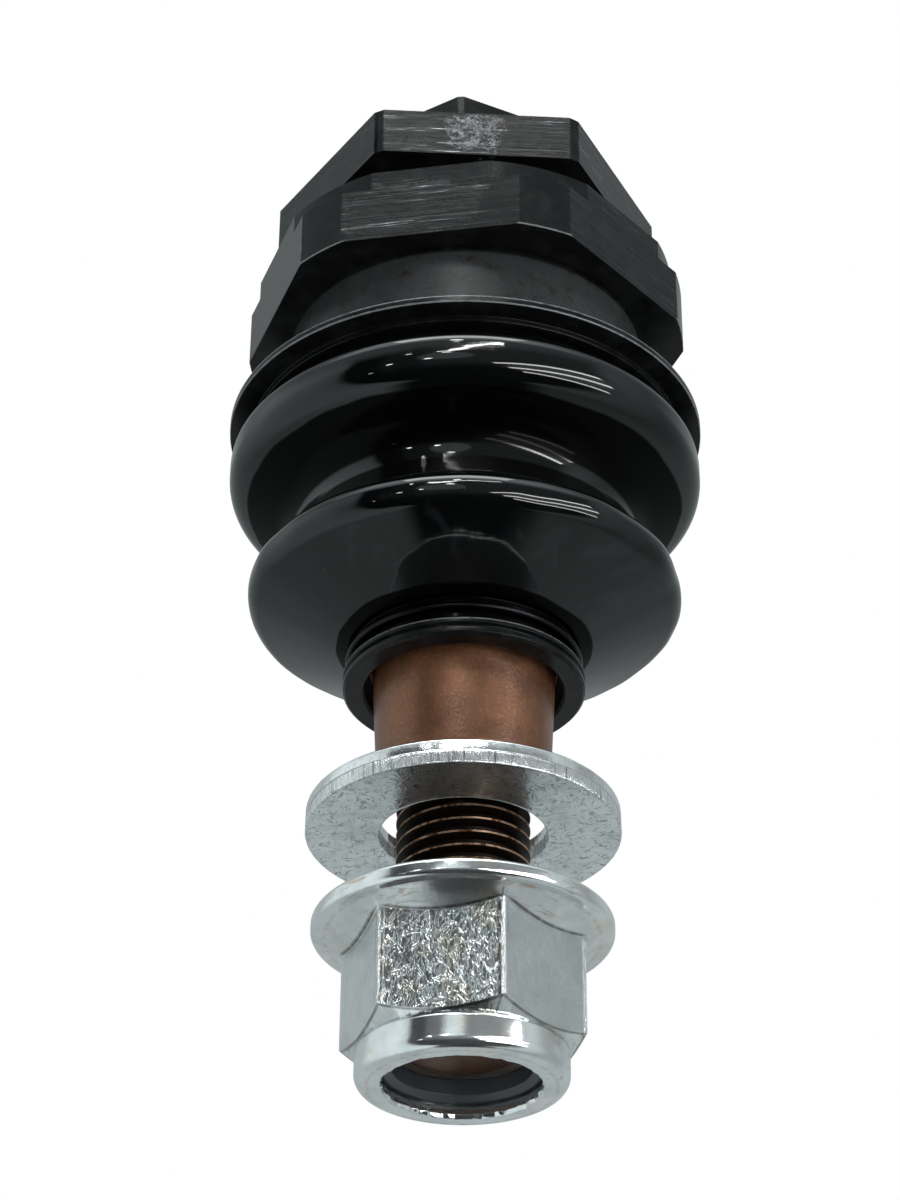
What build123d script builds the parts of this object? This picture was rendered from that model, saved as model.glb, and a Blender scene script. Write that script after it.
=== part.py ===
from build123d import *
import os
from math import atan2, cos, dist, pi, radians, sin, sqrt, tan

# A rebuildable suspension ball joint that bolts through a control arm's plate.
# The origin is on the joint's axis, in the face that the plate rests on. +Z is up, and the stud points down.
# All sizes are in millimetres. Heights that a name calls _z are measured from the origin.

# Fits
running_gap = 0.08       # radial, between pieces that turn or slide on each other
seat_gap = 0.05          # radial, between pieces that stay put
axial_gap = 0.10         # end to end, between pieces of different bodies
swing_gap = 0.35         # between the stud and the retainer's lip at full swing

# Housing
hex_across_flats = 46.0
hex_turned_diameter = 50.0
hex_height = 6.8
shoulder_diameter = 47.8
shoulder_height = 2.4
neck_wall = 2.05
neck_length = 11.4
pilot_diameter = 32.0    # the hole in the arm's plate fits over this
pilot_height = 4.4
spigot_diameter = 30.0   # major diameter of the clamp nut's thread
spigot_length = 8.0
relief_diameter = 27.8
relief_width = 1.4
spigot_chamfer = 1.0
chamber_roof_depth = 2.5

# Clamp nut
arm_gap = 4.6            # from the seat to the clamp nut, at rest
clamp_across_flats = 38.8
clamp_turned_diameter = 44.1
clamp_thickness = 6.0
clamp_clocking = 13.3
countersink_margin = 0.4

# Adjusting plug
plug_thread_diameter = 20.0
plug_head_across_flats = 24.0
plug_head_turned_diameter = 27.3
plug_head_height = 5.3
plug_head_clearance = 0.5
plug_clocking = -23.0
seal_section = 1.8
seal_squeeze = 0.2
seal_below_head = 1.0

# Ball and bearings
ball_diameter = 28.0
ball_depth = 12.5        # from the seat down to the ball's centre
ball_flat_diameter = 7.0
swing_angle = 25.0       # either way
cup_wall = 2.0           # at the ball's widest
bearing_split = 0.6
crown_side_wall = 1.7
crown_wall = 1.9
cup_float = 0.3
ring_reach = 7.0         # from the ball's centre down to the foot of the lower ring
grease_hole_diameter = 3.0
spring_side_gap = 0.75
spring_inner_diameter = 10.4
spring_thickness = 0.9
spring_height = 1.5

# Retainer
retainer_sleeve_wall = 1.95
retainer_sleeve_height = 6.2
retainer_top_clearance = 0.2
retainer_seal_section = 1.2
retainer_seal_lift = 0.2
disc_diameter = 53.0
disc_thickness = 0.9
step_diameter = 48.2
step_height = 0.7
bead_groove_diameter = 39.0
bead_groove_width = 2.8
lip_diameter = 41.2
lip_height = 1.2
opening_top_diameter = 25.4

# Boot
boot_wall = 1.5
bead_wall = 2.62
bead_root_height = 2.05
upper_fold_inset = 0.15   # how far the upper fold lies inside the retainer's disc
upper_fold_height = 5.2
upper_fold_round = 2.9
valley_diameter = 38.0
valley_height = 5.4
valley_top_round = 1.9
valley_low_round = 0.9
lower_fold_diameter = 47.4
lower_fold_height = 2.9
lower_fold_round = 2.2
upper_flank_slope = 25.0
middle_flank_slope = 30.0
lower_flank_slope = 24.32
boot_rim_diameter = 25.4
boot_neck_wall = 0.92
boot_neck_length = 2.8
clamp_ring_wall = 0.8
clamp_ring_width = 1.4
clamp_ring_drop = 0.5
neck_ring_section = 0.72

# Collar
collar_overhang = 0.2     # the flange stands this much proud of the neck ring
collar_flange_height = 2.2
collar_sleeve_wall = 0.72
collar_sleeve_length = 7.5
collar_mouth_gap = 0.4   # round the stud, where the collar opens at its foot
collar_mouth_height = 2.5
collar_groove_depth = 0.45
collar_groove_width = 0.5
collar_groove_drop = 0.8
collar_chamfer = 0.25

# Stud
neck_waist_diameter = 15.0
waist_depth = 17.5       # from the ball's centre to the end of the waist
flare_depth = 22.0       # from the ball's centre to the collar's seat
collar_seat_diameter = 20.4
taper_step = 0.35        # from the collar's seat in to the taper
taper_ratio = 0.1        # change of diameter for each unit of length
taper_length = 13.0
stud_thread_diameter = 14.0
stud_thread_pitch = 1.5
stud_end_depth = 30.4    # from the taper's small end to the stud's end
undercut_depth = 1.1
undercut_width = 1.8
stud_end_chamfer = 1.0

# Washer
washer_diameter = 33.0
washer_hole_diameter = 17.5
washer_thickness = 2.7
washer_drop = 3.8        # from the taper's small end to the washer, at rest

# Lock nut
nut_drop = 16.45         # from the taper's small end to the nut's flange, at rest
flange_diameter = 31.1
flange_rim_height = 1.3
flange_rim_round = 0.55
flange_cone_height = 2.6
nut_across_flats = 22.0
nut_turned_diameter = 25.2
nut_hex_height = 14.0    # from the flange's face to the foot of the flats
nut_clocking = -1.5
rolled_diameter = 21.6
nut_height = 17.9
rolled_round = 1.9
rolled_mouth_diameter = 15.9
rolled_wall = 1.72
insert_height = 2.1
insert_pocket_drop = 14.0
insert_pocket_height = 2.5
nut_countersink = 0.9

# Grease fitting
fitting_thread_diameter = 6.0
fitting_thread_length = 5.5
fitting_across_flats = 7.0
fitting_hex_height = 2.5
nipple_neck_diameter = 4.4
nipple_head_diameter = 6.2
nipple_height = 6.0
fitting_bore_diameter = 2.6
fitting_mouth_diameter = 1.5
fitting_mouth_length = 0.6
fitting_foot_hole_diameter = 1.2
fitting_foot_length = 0.6
check_ball_diameter = 2.2
fitting_spring_wire = 0.35

# Diameters that follow from the fits
spigot_bore_diameter = plug_thread_diameter + 2 * seat_gap
spring_outer_diameter = spigot_bore_diameter - 2 * spring_side_gap
bearing_diameter = ball_diameter + 2 * cup_wall
socket_diameter = ball_diameter + 2 * running_gap
cup_shoulder_rise = ball_depth - chamber_roof_depth - cup_float
crown_diameter = sqrt(socket_diameter**2 - 4 * cup_shoulder_rise**2) + 2 * crown_side_wall
crown_bore_diameter = crown_diameter + 2 * seat_gap
chamber_diameter = bearing_diameter + 2 * seat_gap
retainer_thread_diameter = chamber_diameter + 2 * retainer_sleeve_wall
retainer_bore_diameter = retainer_thread_diameter + 2 * seat_gap
neck_diameter = retainer_bore_diameter + 2 * neck_wall
bead_bore_diameter = bead_groove_diameter + 2 * running_gap
bead_diameter = bead_bore_diameter + 2 * bead_wall
upper_fold_diameter = disc_diameter - 2 * upper_fold_inset
collar_bore_diameter = collar_seat_diameter + 2 * running_gap
collar_sleeve_diameter = collar_bore_diameter + 2 * collar_sleeve_wall
boot_neck_bore_diameter = collar_sleeve_diameter + 2 * running_gap
boot_neck_diameter = boot_neck_bore_diameter + 2 * boot_neck_wall
neck_ring_diameter = boot_neck_diameter + 2 * running_gap + 2 * neck_ring_section
collar_diameter = neck_ring_diameter + 2 * collar_overhang
taper_large_diameter = collar_seat_diameter - 2 * taper_step
collar_mouth_diameter = collar_seat_diameter + 2 * collar_mouth_gap
undercut_diameter = stud_thread_diameter - 2 * undercut_depth
nut_bore_diameter = stud_thread_diameter + 2 * running_gap
pocket_diameter = rolled_diameter - 2 * rolled_wall
insert_diameter = pocket_diameter - 2 * running_gap
clamp_bore_diameter = spigot_diameter + 2 * running_gap

# Heights that follow from the sizes above
hex_top_z = -shoulder_height
hex_low_z = hex_top_z - hex_height
neck_low_z = hex_low_z - neck_length
spigot_top_z = pilot_height + spigot_length
chamber_roof_z = -chamber_roof_depth
ball_z = -ball_depth
crown_top_z = ball_z + ball_diameter / 2 + crown_wall
plug_low_z = crown_top_z + spring_height
head_low_z = spigot_top_z + plug_head_clearance
head_top_z = head_low_z + plug_head_height
shelf_z = ball_z - ring_reach
retainer_top_z = neck_low_z + retainer_sleeve_height
disc_low_z = neck_low_z - disc_thickness
step_low_z = disc_low_z - step_height
lip_top_z = step_low_z - bead_groove_width
lip_low_z = lip_top_z - lip_height
bead_top_z = step_low_z - axial_gap
bead_low_z = lip_top_z + axial_gap
bead_root_z = bead_top_z - bead_root_height
waist_z = ball_z - waist_depth
collar_seat_top_z = ball_z - flare_depth
upper_fold_low_z = bead_root_z - upper_fold_height
valley_top_z = upper_fold_low_z - (upper_fold_diameter - valley_diameter) / 2 * tan(radians(upper_flank_slope))
valley_low_z = valley_top_z - valley_height
lower_fold_top_z = valley_low_z - (lower_fold_diameter - valley_diameter) / 2 * tan(radians(middle_flank_slope))
lower_fold_low_z = lower_fold_top_z - lower_fold_height
boot_rim_z = lower_fold_low_z - (lower_fold_diameter - boot_rim_diameter) / 2 * tan(radians(lower_flank_slope))
boot_low_z = boot_rim_z - boot_neck_length
collar_top_z = boot_low_z - axial_gap
collar_low_z = collar_top_z - collar_flange_height
collar_mouth_z = collar_low_z + collar_mouth_height
sleeve_top_z = collar_top_z + collar_sleeve_length
taper_small_z = collar_mouth_z - taper_length
taper_small_diameter = taper_large_diameter - taper_length * taper_ratio
stud_end_z = taper_small_z - stud_end_depth
washer_top_z = taper_small_z - washer_drop
washer_low_z = washer_top_z - washer_thickness
nut_top_z = taper_small_z - nut_drop
nut_low_z = nut_top_z - nut_height
hex_foot_z = nut_top_z - nut_hex_height
pocket_top_z = nut_top_z - insert_pocket_drop
pocket_low_z = pocket_top_z - insert_pocket_height
nipple_top_z = head_top_z + fitting_hex_height + nipple_height
mouth_low_z = nipple_top_z - fitting_mouth_length
fitting_low_z = head_top_z - fitting_thread_length

# The retainer's opening flares so that the stud's neck clears its lip at full swing
waist_reach = waist_depth * sin(radians(swing_angle)) + neck_waist_diameter / 2 * cos(radians(swing_angle))
waist_drop = waist_depth * cos(radians(swing_angle)) - neck_waist_diameter / 2 * sin(radians(swing_angle))
flare_reach = flare_depth * sin(radians(swing_angle)) + collar_seat_diameter / 2 * cos(radians(swing_angle))
flare_drop = flare_depth * cos(radians(swing_angle)) - collar_seat_diameter / 2 * sin(radians(swing_angle))
lip_share = (ball_z - lip_low_z - waist_drop) / (flare_drop - waist_drop)
opening_low_diameter = 2 * (waist_reach + lip_share * (flare_reach - waist_reach) + swing_gap)


def fitted_rounding(points, rounding):
    # A rounding shrinks where the straight runs beside its corner are too short for it.
    count = len(points)
    following = [points[(i + 1) % count] for i in range(count)]
    runs = [dist(points[i], following[i]) for i in range(count)]
    headings = [atan2(following[i][1] - points[i][1], following[i][0] - points[i][0]) for i in range(count)]
    turns = [abs((headings[i] - headings[i - 1] + pi) % (2 * pi) - pi) for i in range(count)]
    reaches = [rounding[i] * tan(turns[i] / 2) for i in range(count)]
    fitted = []
    for i in range(count):
        before = 0.98 * runs[i - 1] / max(reaches[i - 1] + reaches[i], 1e-9)
        after = 0.98 * runs[i] / max(reaches[i] + reaches[(i + 1) % count], 1e-9)
        fitted.append(rounding[i] * min(1, before, after))
    return fitted


def turned(*corners):
    # A solid of revolution. Each corner is (diameter, height), or (diameter, height, rounding).
    points = [(corner[0] / 2, corner[1]) for corner in corners]
    rounding = [corner[2] if len(corner) > 2 else 0 for corner in corners]
    outline = FilletPolyline(*points, radius=fitted_rounding(points, rounding), close=True)
    return revolve(Plane.XZ * make_face(outline), Axis.Z)


def ring(inner_diameter, outer_diameter, low_z, high_z):
    return turned(
        (inner_diameter, low_z),
        (outer_diameter, low_z),
        (outer_diameter, high_z),
        (inner_diameter, high_z),
    )


def hexagon(across_flats, low_z, high_z, clocking=0.0):
    outline = RegularPolygon(across_flats / 2, 6, major_radius=False, rotation=clocking)
    return extrude(Plane.XY.offset(low_z) * outline, high_z - low_z)


def flats(across_flats, low_z, high_z, clocking=0.0):
    # What a mill takes off a turned bar to leave a hexagon
    stock = ring(0.5 * across_flats, 2 * across_flats, low_z, high_z)
    return stock - hexagon(across_flats, low_z - 1, high_z + 1, clocking)


def make_housing():
    body = turned(
        (spigot_bore_diameter, spigot_top_z),
        (spigot_diameter - 2 * spigot_chamfer, spigot_top_z),
        (spigot_diameter, spigot_top_z - spigot_chamfer),
        (spigot_diameter, pilot_height + relief_width),
        (relief_diameter, pilot_height + relief_width),
        (relief_diameter, pilot_height),
        (pilot_diameter, pilot_height),
        (pilot_diameter, 0),
        (shoulder_diameter, 0),
        (shoulder_diameter, hex_top_z),
        (hex_turned_diameter, hex_top_z),
        (hex_turned_diameter, hex_low_z),
        (neck_diameter, hex_low_z),
        (neck_diameter, neck_low_z),
        (retainer_bore_diameter, neck_low_z),
        (retainer_bore_diameter, retainer_top_z + retainer_top_clearance),
        (chamber_diameter, retainer_top_z + retainer_top_clearance),
        (chamber_diameter, chamber_roof_z),
        (crown_bore_diameter, chamber_roof_z),
        (crown_bore_diameter, pilot_height),
        (spigot_bore_diameter, pilot_height),
    )
    return body - flats(hex_across_flats, hex_low_z, 0)


def make_clamp_nut():
    low_z = arm_gap
    high_z = arm_gap + clamp_thickness
    mouth_diameter = pilot_diameter + 2 * countersink_margin
    countersink = (mouth_diameter - clamp_bore_diameter) / 2
    body = turned(
        (mouth_diameter, low_z),
        (clamp_turned_diameter, low_z),
        (clamp_turned_diameter, high_z),
        (mouth_diameter, high_z),
        (clamp_bore_diameter, high_z - countersink),
        (clamp_bore_diameter, low_z + countersink),
    )
    return body - flats(clamp_across_flats, low_z, high_z, clamp_clocking)


def make_adjusting_plug():
    groove_high_z = head_low_z - plug_head_clearance - seal_below_head
    groove_low_z = groove_high_z - seal_section
    groove_diameter = plug_thread_diameter - 2 * (seal_section - seal_squeeze)
    shank = turned(
        (grease_hole_diameter, plug_low_z),
        (plug_thread_diameter, plug_low_z),
        (plug_thread_diameter, groove_low_z),
        (groove_diameter, groove_low_z),
        (groove_diameter, groove_high_z),
        (plug_thread_diameter, groove_high_z),
        (plug_thread_diameter, head_low_z),
        (plug_head_turned_diameter, head_low_z),
        (plug_head_turned_diameter, head_top_z),
        (fitting_thread_diameter + 2 * seat_gap, head_top_z),
        (fitting_thread_diameter + 2 * seat_gap, fitting_low_z - seat_gap),
        (grease_hole_diameter, fitting_low_z - seat_gap),
    )
    return shank - flats(plug_head_across_flats, head_low_z, head_top_z, plug_clocking)


def make_plug_seal():
    high_z = head_low_z - plug_head_clearance - seal_below_head
    section = seal_section - seal_squeeze
    centre_diameter = plug_thread_diameter - section
    return Pos(0, 0, high_z - seal_section / 2) * Torus(centre_diameter / 2, section / 2)


def make_disc_spring():
    return turned(
        (spring_outer_diameter, crown_top_z),
        (spring_outer_diameter, crown_top_z + spring_thickness),
        (spring_inner_diameter, crown_top_z + spring_height),
        (spring_inner_diameter, crown_top_z + spring_height - spring_thickness),
    )


def make_upper_cup():
    low_z = ball_z + bearing_split / 2
    shoulder_z = ball_z + cup_shoulder_rise
    body = turned(
        (grease_hole_diameter, low_z),
        (bearing_diameter, low_z),
        (bearing_diameter, shoulder_z),
        (crown_diameter, shoulder_z),
        (crown_diameter, crown_top_z),
        (grease_hole_diameter, crown_top_z),
    )
    return body - Pos(0, 0, ball_z) * Sphere(socket_diameter / 2)


def make_lower_bearing():
    body = ring(ball_flat_diameter, bearing_diameter, shelf_z, ball_z - bearing_split / 2)
    return body - Pos(0, 0, ball_z) * Sphere(socket_diameter / 2)


def make_retainer():
    groove_high_z = neck_low_z + retainer_seal_lift + retainer_seal_section
    groove_low_z = neck_low_z + retainer_seal_lift
    groove_diameter = retainer_thread_diameter - 2 * retainer_seal_section
    return turned(
        (chamber_diameter, retainer_top_z),
        (retainer_thread_diameter, retainer_top_z),
        (retainer_thread_diameter, groove_high_z),
        (groove_diameter, groove_high_z),
        (groove_diameter, groove_low_z),
        (retainer_thread_diameter, groove_low_z),
        (retainer_thread_diameter, neck_low_z),
        (disc_diameter, neck_low_z),
        (disc_diameter, disc_low_z),
        (step_diameter, disc_low_z),
        (step_diameter, step_low_z),
        (bead_groove_diameter, step_low_z),
        (bead_groove_diameter, lip_top_z),
        (lip_diameter, lip_top_z),
        (lip_diameter, lip_low_z),
        (opening_low_diameter, lip_low_z),
        (opening_top_diameter, shelf_z),
        (chamber_diameter, shelf_z),
    )


def make_retainer_seal():
    section_radius = retainer_seal_section / 2
    centre_radius = retainer_thread_diameter / 2 - section_radius
    return Pos(0, 0, neck_low_z + retainer_seal_lift + section_radius) * Torus(centre_radius, section_radius)


def make_boot():
    # The outside runs down from the bead over both folds, and the inside follows it back one wall further in.
    upper_inside = upper_fold_diameter - 2 * boot_wall
    valley_inside = valley_diameter - 2 * boot_wall
    lower_inside = lower_fold_diameter - 2 * boot_wall
    lip_bore = lip_diameter + 0.8
    upper_slope = tan(radians(upper_flank_slope))
    middle_slope = tan(radians(middle_flank_slope))
    lower_slope = tan(radians(lower_flank_slope))
    upper_rise = boot_wall * (sqrt(1 + upper_slope**2) - upper_slope)
    valley_rise = boot_wall * (sqrt(1 + middle_slope**2) - middle_slope)
    lower_rise = boot_wall * (sqrt(1 + lower_slope**2) - lower_slope)
    neck_rise = boot_wall * sqrt(1 + lower_slope**2)
    neck_top_z = boot_rim_z + neck_rise - (boot_rim_diameter - boot_neck_bore_diameter) / 2 * lower_slope
    return turned(
        (bead_diameter, bead_top_z),
        (bead_diameter, bead_root_z),
        (upper_fold_diameter, bead_root_z, upper_fold_round),
        (upper_fold_diameter, upper_fold_low_z, upper_fold_round),
        (valley_diameter, valley_top_z, valley_top_round),
        (valley_diameter, valley_low_z, valley_low_round),
        (lower_fold_diameter, lower_fold_top_z, lower_fold_round),
        (lower_fold_diameter, lower_fold_low_z, lower_fold_round),
        (boot_rim_diameter, boot_rim_z),
        (boot_neck_diameter, boot_rim_z),
        (boot_neck_diameter, boot_low_z),
        (boot_neck_bore_diameter, boot_low_z),
        (boot_neck_bore_diameter, neck_top_z),
        (lower_inside, lower_fold_low_z + lower_rise),
        (lower_inside, lower_fold_top_z - valley_rise),
        (valley_inside, valley_low_z - valley_rise, valley_low_round),
        (valley_inside, valley_top_z + upper_rise, valley_low_round),
        (upper_inside, upper_fold_low_z + upper_rise, upper_fold_round - boot_wall),
        (upper_inside, bead_root_z - boot_wall, upper_fold_round - boot_wall),
        (lip_bore, bead_root_z - boot_wall),
        (lip_bore, bead_low_z),
        (bead_bore_diameter, bead_low_z),
        (bead_bore_diameter, bead_top_z),
    )


def make_boot_clamp_ring():
    high_z = bead_top_z - clamp_ring_drop
    outer_diameter = bead_diameter + 2 * clamp_ring_wall
    return ring(bead_diameter, outer_diameter, high_z - clamp_ring_width, high_z)


def make_boot_neck_ring():
    section_radius = neck_ring_section / 2
    centre_radius = neck_ring_diameter / 2 - section_radius
    middle_z = (boot_rim_z + boot_low_z) / 2
    return Pos(0, 0, middle_z) * Torus(centre_radius, section_radius)


def make_boot_collar():
    groove_high_z = collar_top_z - collar_groove_drop
    groove_low_z = groove_high_z - collar_groove_width
    groove_diameter = collar_diameter - 2 * collar_groove_depth
    return turned(
        (collar_bore_diameter, sleeve_top_z),
        (collar_sleeve_diameter, sleeve_top_z),
        (collar_sleeve_diameter, collar_top_z),
        (collar_diameter - 2 * collar_chamfer, collar_top_z),
        (collar_diameter, collar_top_z - collar_chamfer),
        (collar_diameter, groove_high_z),
        (groove_diameter, groove_high_z),
        (groove_diameter, groove_low_z),
        (collar_diameter, groove_low_z),
        (collar_diameter, collar_low_z + collar_chamfer),
        (collar_diameter - 2 * collar_chamfer, collar_low_z),
        (collar_mouth_diameter, collar_low_z),
        (collar_mouth_diameter, collar_mouth_z),
        (collar_bore_diameter, collar_mouth_z),
    )


def make_ball_stud():
    ball = Pos(0, 0, ball_z) * Sphere(ball_diameter / 2)
    flat_rise = sqrt(ball_diameter**2 - ball_flat_diameter**2) / 2
    cap = ring(0, ball_diameter, ball_z + flat_rise, ball_z + ball_diameter)
    shank = turned(
        (0, ball_z),
        (neck_waist_diameter, ball_z),
        (neck_waist_diameter, waist_z, 2.0),
        (collar_seat_diameter, collar_seat_top_z, 1.0),
        (collar_seat_diameter, collar_mouth_z),
        (taper_large_diameter, collar_mouth_z),
        (taper_small_diameter, taper_small_z),
        (undercut_diameter, taper_small_z),
        (undercut_diameter, taper_small_z - undercut_width),
        (stud_thread_diameter, taper_small_z - undercut_width),
        (stud_thread_diameter, stud_end_z + stud_end_chamfer),
        (stud_thread_diameter - 2 * stud_end_chamfer, stud_end_z),
        (0, stud_end_z),
    )
    return ball - cap + shank


def make_washer():
    return turned(
        (washer_hole_diameter, washer_low_z),
        (washer_diameter, washer_low_z),
        (washer_diameter, washer_top_z),
        (washer_hole_diameter, washer_top_z),
    )


def make_lock_nut():
    rim_z = nut_top_z - flange_rim_height
    cone_foot_z = rim_z - flange_cone_height
    body = turned(
        (nut_bore_diameter + 2 * nut_countersink, nut_top_z),
        (flange_diameter, nut_top_z, flange_rim_round),
        (flange_diameter, rim_z, flange_rim_round),
        (nut_across_flats, cone_foot_z),
        (nut_across_flats, hex_foot_z),
        (rolled_diameter, hex_foot_z),
        (rolled_diameter, nut_low_z, rolled_round),
        (rolled_mouth_diameter, nut_low_z),
        (rolled_mouth_diameter, pocket_low_z),
        (pocket_diameter, pocket_low_z),
        (pocket_diameter, pocket_top_z),
        (nut_bore_diameter, pocket_top_z),
        (nut_bore_diameter, nut_top_z - nut_countersink),
    )
    corner_rise = (nut_turned_diameter - rolled_diameter) / 2 * tan(radians(30))
    blank = turned(
        (nut_bore_diameter + 1, rim_z),
        (nut_turned_diameter, rim_z),
        (nut_turned_diameter, hex_foot_z + corner_rise),
        (rolled_diameter, hex_foot_z),
        (insert_diameter + 1, hex_foot_z),
        (nut_bore_diameter + 1, pocket_top_z + 1),
    )
    hexagonal = blank & hexagon(nut_across_flats, nut_low_z, nut_top_z, nut_clocking)
    return body + hexagonal


def make_nylon_insert():
    high_z = pocket_top_z - axial_gap
    return ring(nut_bore_diameter, insert_diameter, high_z - insert_height, high_z)


def make_grease_fitting():
    waist_z_high = head_top_z + fitting_hex_height + nipple_height * 0.45
    body = turned(
        (fitting_foot_hole_diameter, fitting_low_z),
        (fitting_thread_diameter, fitting_low_z),
        (fitting_thread_diameter, head_top_z),
        (nipple_neck_diameter, head_top_z),
        (nipple_neck_diameter, waist_z_high),
        (nipple_head_diameter, waist_z_high + 1.0),
        (nipple_head_diameter, nipple_top_z - 1.6),
        (fitting_mouth_diameter + 1.2, nipple_top_z),
        (fitting_mouth_diameter, nipple_top_z),
        (fitting_mouth_diameter, mouth_low_z),
        (fitting_bore_diameter, mouth_low_z),
        (fitting_bore_diameter, fitting_low_z + fitting_foot_length),
        (fitting_foot_hole_diameter, fitting_low_z + fitting_foot_length),
    )
    nut = hexagon(fitting_across_flats, head_top_z, head_top_z + fitting_hex_height, plug_clocking)
    core = ring(0, fitting_bore_diameter + 1, head_top_z, head_top_z + fitting_hex_height)
    return body + (nut - core)


def ball_below_mouth():
    # How far the check ball's centre lies below the edge that it seals on
    return sqrt(check_ball_diameter**2 - fitting_mouth_diameter**2) / 2


def make_check_ball():
    return Pos(0, 0, mouth_low_z - ball_below_mouth()) * Sphere(check_ball_diameter / 2)


def make_fitting_spring():
    high_z = mouth_low_z - ball_below_mouth() - check_ball_diameter / 2
    outer_diameter = fitting_bore_diameter - 2 * seat_gap
    inner_diameter = outer_diameter - 2 * fitting_spring_wire
    return ring(inner_diameter, outer_diameter, fitting_low_z + fitting_foot_length, high_z)


pieces = {
    "housing": make_housing,
    "clamp_nut": make_clamp_nut,
    "adjusting_plug": make_adjusting_plug,
    "plug_seal": make_plug_seal,
    "disc_spring": make_disc_spring,
    "upper_cup": make_upper_cup,
    "lower_bearing": make_lower_bearing,
    "retainer": make_retainer,
    "retainer_seal": make_retainer_seal,
    "boot": make_boot,
    "boot_clamp_ring": make_boot_clamp_ring,
    "boot_neck_ring": make_boot_neck_ring,
    "boot_collar": make_boot_collar,
    "ball_stud": make_ball_stud,
    "washer": make_washer,
    "lock_nut": make_lock_nut,
    "nylon_insert": make_nylon_insert,
    "grease_fitting": make_grease_fitting,
    "check_ball": make_check_ball,
    "fitting_spring": make_fitting_spring,
}

os.makedirs("parts", exist_ok=True)
for name, make in pieces.items():
    export_step(make(), f"parts/{name}.step")
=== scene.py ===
import bpy
import bmesh
from math import atan2, cos, degrees, floor, hypot, pi, radians, sin, tan
from mathutils import Matrix, Vector, noise


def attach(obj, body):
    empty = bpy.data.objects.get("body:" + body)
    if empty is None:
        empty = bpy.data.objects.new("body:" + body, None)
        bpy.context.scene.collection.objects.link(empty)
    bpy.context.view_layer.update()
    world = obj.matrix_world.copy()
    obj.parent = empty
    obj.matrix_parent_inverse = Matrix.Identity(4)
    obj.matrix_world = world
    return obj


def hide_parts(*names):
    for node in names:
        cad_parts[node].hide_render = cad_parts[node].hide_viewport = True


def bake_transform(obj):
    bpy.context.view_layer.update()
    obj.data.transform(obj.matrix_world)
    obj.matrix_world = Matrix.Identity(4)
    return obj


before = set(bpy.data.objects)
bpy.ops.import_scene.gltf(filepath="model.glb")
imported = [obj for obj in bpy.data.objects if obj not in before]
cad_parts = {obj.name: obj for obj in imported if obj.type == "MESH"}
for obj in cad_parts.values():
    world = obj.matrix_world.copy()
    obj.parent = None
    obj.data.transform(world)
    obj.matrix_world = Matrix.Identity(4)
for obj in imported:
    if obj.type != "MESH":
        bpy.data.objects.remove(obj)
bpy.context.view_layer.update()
print("frame loaded", len(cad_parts), "nodes")

scene = bpy.context.scene
mm = 0.001


def halves(sizes, *names):
    # radii from a piece's diameters
    return [sizes[name] / 2 for name in names]


def smoothed(mesh, sharp=32):
    mesh.shade_smooth()
    mesh.set_sharp_from_angle(angle=radians(sharp))


def linked(name, mesh):
    piece = bpy.data.objects.new(name, mesh)
    scene.collection.objects.link(piece)
    return piece


def rounded(corners, step=9):
    # corners of an outline as (radius, height) or (radius, height, rounding); each rounding becomes an arc
    count = len(corners)
    spots = []
    for i, corner in enumerate(corners):
        here = Vector(corner[:2])
        size = corner[2] if len(corner) > 2 else 0
        back = (Vector(corners[i - 1][:2]) - here)
        ahead = (Vector(corners[(i + 1) % count][:2]) - here)
        if size <= 0 or back.length < 1e-6 or ahead.length < 1e-6:
            spots.append(here)
            continue
        bend = back.normalized().angle(ahead.normalized())  # inner angle at the corner
        reach = size / tan(bend / 2)
        limit = 0.495 * min(back.length, ahead.length)
        if reach > limit:
            size *= limit / reach
            reach = limit
        start = here + back.normalized() * reach
        middle = here + (back.normalized() + ahead.normalized()).normalized() * (size / sin(bend / 2))
        sweep = pi - bend
        first = atan2(start.y - middle.y, start.x - middle.x)
        side = 1 if back.cross(ahead) < 0 else -1
        steps = max(2, int(degrees(sweep) / step + 0.5))
        for k in range(steps + 1):
            angle = first + side * sweep * k / steps
            spots.append(middle + Vector((cos(angle), sin(angle))) * size)
    return spots


def turned(name, corners, segments=192, step=9, closed=True, sharp=32):
    # a solid of revolution in millimetres; an open outline starts and ends on the axis
    spots = rounded(corners, step)
    shape = bmesh.new()
    rings = []
    for spot in spots:
        if abs(spot.x) < 1e-6:
            rings.append([shape.verts.new((0, 0, spot.y * mm))])
            continue
        ring = []
        for k in range(segments):
            angle = 2 * pi * k / segments
            ring.append(shape.verts.new((spot.x * mm * cos(angle), spot.x * mm * sin(angle), spot.y * mm)))
        rings.append(ring)
    pairs = list(zip(rings, rings[1:]))
    if closed:
        pairs.append((rings[-1], rings[0]))
    for one, other in pairs:
        for k in range(segments):
            n = (k + 1) % segments
            loop = [one[k % len(one)], one[n % len(one)], other[n % len(other)], other[k % len(other)]]
            loop = [v for i, v in enumerate(loop) if v not in loop[:i]]
            if len(loop) > 2:
                shape.faces.new(loop)
    bmesh.ops.recalc_face_normals(shape, faces=shape.faces)
    return finished(name, shape, sharp)


def finished(name, shape, sharp=32):
    mesh = bpy.data.meshes.new(name)
    shape.to_mesh(mesh)
    shape.free()
    smoothed(mesh, sharp)
    return linked(name, mesh)


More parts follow.
